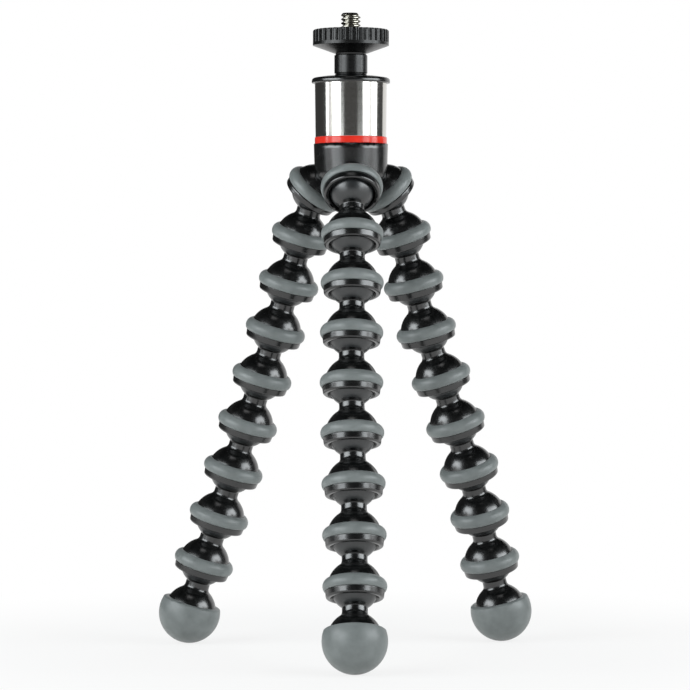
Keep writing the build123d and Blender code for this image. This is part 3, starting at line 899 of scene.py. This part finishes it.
def stud_form():
    form = wound_thread()
    shoulder = stud_high - END_CHAMFER
    for height, up in ((shoulder, 1), (stud_low, -1)):
        bmesh.ops.bisect_plane(form, geom=form.verts[:] + form.edges[:] + form.faces[:],
                               plane_co=(0, 0, height), plane_no=(0, 0, up), clear_outer=True)
    rims = [edge for edge in form.edges if edge.is_boundary]
    bmesh.ops.holes_fill(form, edges=rims)
    bmesh.ops.recalc_face_normals(form, faces=form.faces)
    top = [face for face in form.faces
           if face.normal.z > LEVEL and abs(face.calc_center_median().z - shoulder) < 10 * MERGE]
    raised = bmesh.ops.extrude_face_region(form, geom=top)
    moved = [item for item in raised["geom"] if isinstance(item, bmesh.types.BMVert)]
    bmesh.ops.scale(form, verts=moved, vec=(END_SHARE, END_SHARE, 1))
    bmesh.ops.translate(form, verts=moved, vec=(0, 0, END_CHAMFER))
    bmesh.ops.delete(form, geom=top, context="FACES")
    return form


stud_mesh = mesh_from(stud_form(), "camera_stud_thread", Matrix())
add_piece(stud_mesh, "head_ball", (BRIGHT_ZINC,), "camera_stud")
print("stud has", len(stud_mesh.polygons), "faces")

# %% [markdown]
# ## Studio
# The photo was taken in a white studio: a white backdrop, a pale table, and wide soft lamps on
# each side of the camera. The backdrop is the world. Cameras and mirrors see it pure white, and
# it lights the tripod only a little, so that the lamps draw the forms.

# %% Backdrop
FILL = 0.24  # light of the backdrop on matt surfaces, as a share of its own white
studio = bpy.data.worlds.new("white_studio")
bpy.context.scene.world = studio
studio.use_nodes = True
studio.node_tree.nodes.clear()


def seen_white(tree_owner):
    """1 where a camera, mirror or glass ray asks for the colour, else 0."""
    rays = add_node(tree_owner, "ShaderNodeLightPath")
    seen = add_node(tree_owner, "ShaderNodeMath", {"operation": "MAXIMUM"})
    tree_owner.node_tree.links.new(rays.outputs["Is Camera Ray"], seen.inputs[0])
    tree_owner.node_tree.links.new(rays.outputs["Is Glossy Ray"], seen.inputs[1])
    both = add_node(tree_owner, "ShaderNodeMath", {"operation": "MAXIMUM"})
    tree_owner.node_tree.links.new(seen.outputs[0], both.inputs[0])
    tree_owner.node_tree.links.new(rays.outputs["Is Transmission Ray"], both.inputs[1])
    return both.outputs[0]


fill_light = add_node(studio, "ShaderNodeBackground",
                      inputs={"Color": linear("#FFFFFF"), "Strength": FILL})
backdrop = add_node(studio, "ShaderNodeBackground",
                    inputs={"Color": linear("#FFFFFF"), "Strength": 1.0})
mixed = add_node(studio, "ShaderNodeMixShader")
studio.node_tree.links.new(seen_white(studio), mixed.inputs[0])
studio.node_tree.links.new(fill_light.outputs[0], mixed.inputs[1])
studio.node_tree.links.new(backdrop.outputs[0], mixed.inputs[2])
add_node(studio, "ShaderNodeOutputWorld", links={"Surface": mixed.outputs[0]})
print("the world has", len(studio.node_tree.nodes), "nodes")

# %% [markdown]
# The table is painted a matt white. Near the feet it keeps a faint shadow, and further out it
# fades into the backdrop, so that no horizon shows. It lies a hair under the feet.

# %% Floor
FLOOR_RADIUS = 0.9
FLOOR_DROP = 0.05 * MM
SHADOW_START, SHADOW_END = 0.08, 0.22  # m, the shadow fades out between these distances
SHADOW_SHARE = 0.2  # of the painted floor, in what shows near the feet


def pale_table():
    """White matt table. It keeps the shadow near the feet and fades out into the backdrop."""
    finish = bpy.data.materials.new("pale_table")
    finish.use_nodes = True
    finish.node_tree.nodes.clear()
    places = add_node(finish, "ShaderNodeTexCoord").outputs["Object"]
    distance = add_node(finish, "ShaderNodeVectorMath", {"operation": "LENGTH"},
                        links={"Vector": places})
    near = add_node(finish, "ShaderNodeMapRange", {"interpolation_type": "SMOOTHSTEP"},
                    {"From Min": SHADOW_START, "From Max": SHADOW_END,
                     "To Min": SHADOW_SHARE, "To Max": 0.0},
                    {"Value": distance.outputs["Value"]})
    paint = add_node(finish, "ShaderNodeBsdfDiffuse", inputs={"Color": linear("#F2F2F0")})
    white = add_node(finish, "ShaderNodeEmission",
                     inputs={"Color": linear("#FFFFFF"), "Strength": 1.0})
    shown = add_node(finish, "ShaderNodeMixShader")
    finish.node_tree.links.new(near.outputs["Result"], shown.inputs[0])
    finish.node_tree.links.new(white.outputs[0], shown.inputs[1])
    finish.node_tree.links.new(paint.outputs[0], shown.inputs[2])
    mixed = add_node(finish, "ShaderNodeMixShader")
    finish.node_tree.links.new(seen_white(finish), mixed.inputs[0])
    finish.node_tree.links.new(paint.outputs[0], mixed.inputs[1])
    finish.node_tree.links.new(shown.outputs[0], mixed.inputs[2])
    add_node(finish, "ShaderNodeOutputMaterial", links={"Surface": mixed.outputs[0]})
    return finish


def stage_sheet(name, size, place, finish):
    """A flat sheet of the studio, which isn't part of the tripod."""
    form = bmesh.new()
    bmesh.ops.create_grid(form, x_segments=1, y_segments=1, size=0.5)
    bmesh.ops.scale(form, verts=form.verts, vec=(size[0], size[1], 1))
    bmesh.ops.transform(form, matrix=place, verts=form.verts)
    mesh = bpy.data.meshes.new(name)
    form.to_mesh(mesh)
    form.free()
    mesh.materials.append(finish)
    sheet = bpy.data.objects.new(name, mesh)
    bpy.context.scene.collection.objects.link(sheet)
    return sheet


stage_sheet("floor", (2 * FLOOR_RADIUS, 2 * FLOOR_RADIUS),
            Matrix.Translation((0, 0, -FLOOR_DROP)), pale_table())
print("the floor is", 2 * FLOOR_RADIUS, "m across")

# %% [markdown]
# A photographer hangs dark cloth wherever a shiny black part must stay black, and white card
# where it needs an edge. Only reflections see these cloths and cards. A dark curtain hangs
# behind the camera, because the dark gap between the lamps is what draws the black parts. A dark
# cloth stands on each side, and another hides the ceiling. White cards stand low on both sides
# and hang high in front, where the sleeve's sides and the upper faces need light. The white
# table stays uncovered, so everything that faces down mirrors it.

# %% Dark cloths and white cards
MIDDLE = 0.118  # m, the height that the sheets and lamps face


def studio_place(azimuth, elevation, distance):
    """The place of a lamp or sheet that faces the tripod. Azimuth 0 is the camera's side."""
    turned, raised = math.radians(azimuth), math.radians(elevation)
    way = Vector((math.sin(turned) * math.cos(raised), -math.cos(turned) * math.cos(raised),
                  math.sin(raised)))
    facing = way.to_track_quat("Z", "Y").to_matrix().to_4x4()
    return Matrix.Translation(way * distance + Vector((0, 0, MIDDLE))) @ facing


def reflected_sheet(name, azimuth, elevation, distance, size, tone):
    """A sheet that faces the tripod and that only mirrors see."""
    finish = bpy.data.materials.new(name)
    finish.use_nodes = True
    finish.node_tree.nodes.clear()
    glow = add_node(finish, "ShaderNodeEmission",
                    inputs={"Color": linear("#FFFFFF"), "Strength": tone})
    add_node(finish, "ShaderNodeOutputMaterial", links={"Surface": glow.outputs[0]})
    sheet = stage_sheet(name, size, studio_place(azimuth, elevation, distance), finish)
    sheet.visible_camera = sheet.visible_diffuse = sheet.visible_shadow = False


# Azimuth and elevation in degrees, distance, (width, height) in metres, and tone.
SHEETS = {
    "curtain": (0, 18, 1.6, (4.4, 1.25), 0.075),
    "left_cloth": (-122, 12, 1.1, (2.6, 1.1), 0.05),
    "right_cloth": (109, 12, 1.1, (0.62, 1.1), 0.08),
    "left_card": (-70, -1, 0.95, (0.26, 0.36), 0.9),
    "right_card": (66, -1, 0.95, (0.2, 0.36), 1.2),
    "ceiling_cloth": (0, 90, 1.15, (4.0, 4.0), 0.015),
    "front_card": (-5, 66, 1.0, (0.4, 0.28), 1.2),
}
for name, values in SHEETS.items():
    reflected_sheet(name, *values)
print(len(SHEETS), "cloths and cards")

# %% [markdown]
# Each lamp is a wide soft rectangle that faces the tripod. A bright one hangs above the camera's
# height on each side, and a weaker one stands below it. The steel sleeve shows the lower pair,
# and the bands of the front leg, which lean towards the camera, show the upper pair. A lamp
# behind lights the backs of the parts, as the white backdrop does, without a reflection.

# %% Lamps
LAMP_WHITE = "#F6FCFF"  # a little cool, as daylight lamps are


def soft_lamp(name, azimuth, elevation, distance, size, radiance):
    """A soft rectangle that faces the tripod. Its radiance is that of its lit face."""
    lamp = bpy.data.lights.new(name, "AREA")
    lamp.shape, lamp.size, lamp.size_y = "RECTANGLE", size[0], size[1]
    lamp.energy = radiance * math.pi * size[0] * size[1]
    lamp.color = linear(LAMP_WHITE)[:3]
    holder = bpy.data.objects.new(name, lamp)
    holder.matrix_world = studio_place(azimuth, elevation, distance)
    bpy.context.scene.collection.objects.link(holder)
    return holder


# Azimuth and elevation in degrees, distance, (width, height) in metres, and radiance.
LAMPS = {
    "left_lamp": (-60, 17.5, 1.0, (1.0, 0.46), 5.8),
    "right_lamp": (65, 17.5, 1.0, (0.96, 0.46), 5.6),
    "left_low_lamp": (-42, -4, 1.0, (0.70, 0.29), 1.7),
    "right_low_lamp": (38, -4, 1.0, (0.60, 0.29), 0.7),
    "back_lamp": (180, 35, 1.2, (1.6, 0.9), 0.9),
}
lamps = {name: soft_lamp(name, *values) for name, values in LAMPS.items()}
lamps["back_lamp"].visible_glossy = False
print(len(lamps), "soft lamps")

# %% [markdown]
# ## Camera
# The photo was taken with a long lens held level, 118 mm above the table and about a metre away.
# Level means that the uprights stay upright, and the tripod's horizon lies above the middle of
# the picture, so the lens is shifted a little, not tilted.

# %% Camera
PICTURE_WIDTH = 690  # px
SCALE = 3.118  # px per mm at the hub's axis
AXIS_X, HORIZON_Y = 350.9, 283.8  # px, where the hub's axis and the horizon lie in the picture
CAMERA_DISTANCE = 1.0  # m, from the hub's axis
CAMERA_HEIGHT = 0.118  # m, above the floor
SENSOR_WIDTH = 36.0  # mm
CLIP_NEAR, CLIP_FAR = 0.05, 20  # m
lens = bpy.data.cameras.new("long_lens")
lens.sensor_width = SENSOR_WIDTH
lens.lens = SCALE / MM * CAMERA_DISTANCE / PICTURE_WIDTH * SENSOR_WIDTH
lens.shift_x = (PICTURE_WIDTH / 2 - AXIS_X) / PICTURE_WIDTH
lens.shift_y = (HORIZON_Y - PICTURE_WIDTH / 2) / PICTURE_WIDTH
lens.clip_start, lens.clip_end = CLIP_NEAR, CLIP_FAR
camera = bpy.data.objects.new("camera", lens)
camera.location = (0, -CAMERA_DISTANCE, CAMERA_HEIGHT)
camera.rotation_euler = (math.radians(90), 0, 0)
bpy.context.scene.collection.objects.link(camera)
bpy.context.scene.camera = camera
bpy.context.scene.view_settings.view_transform = "Standard"
print(f"a {lens.lens:.0f} mm lens")
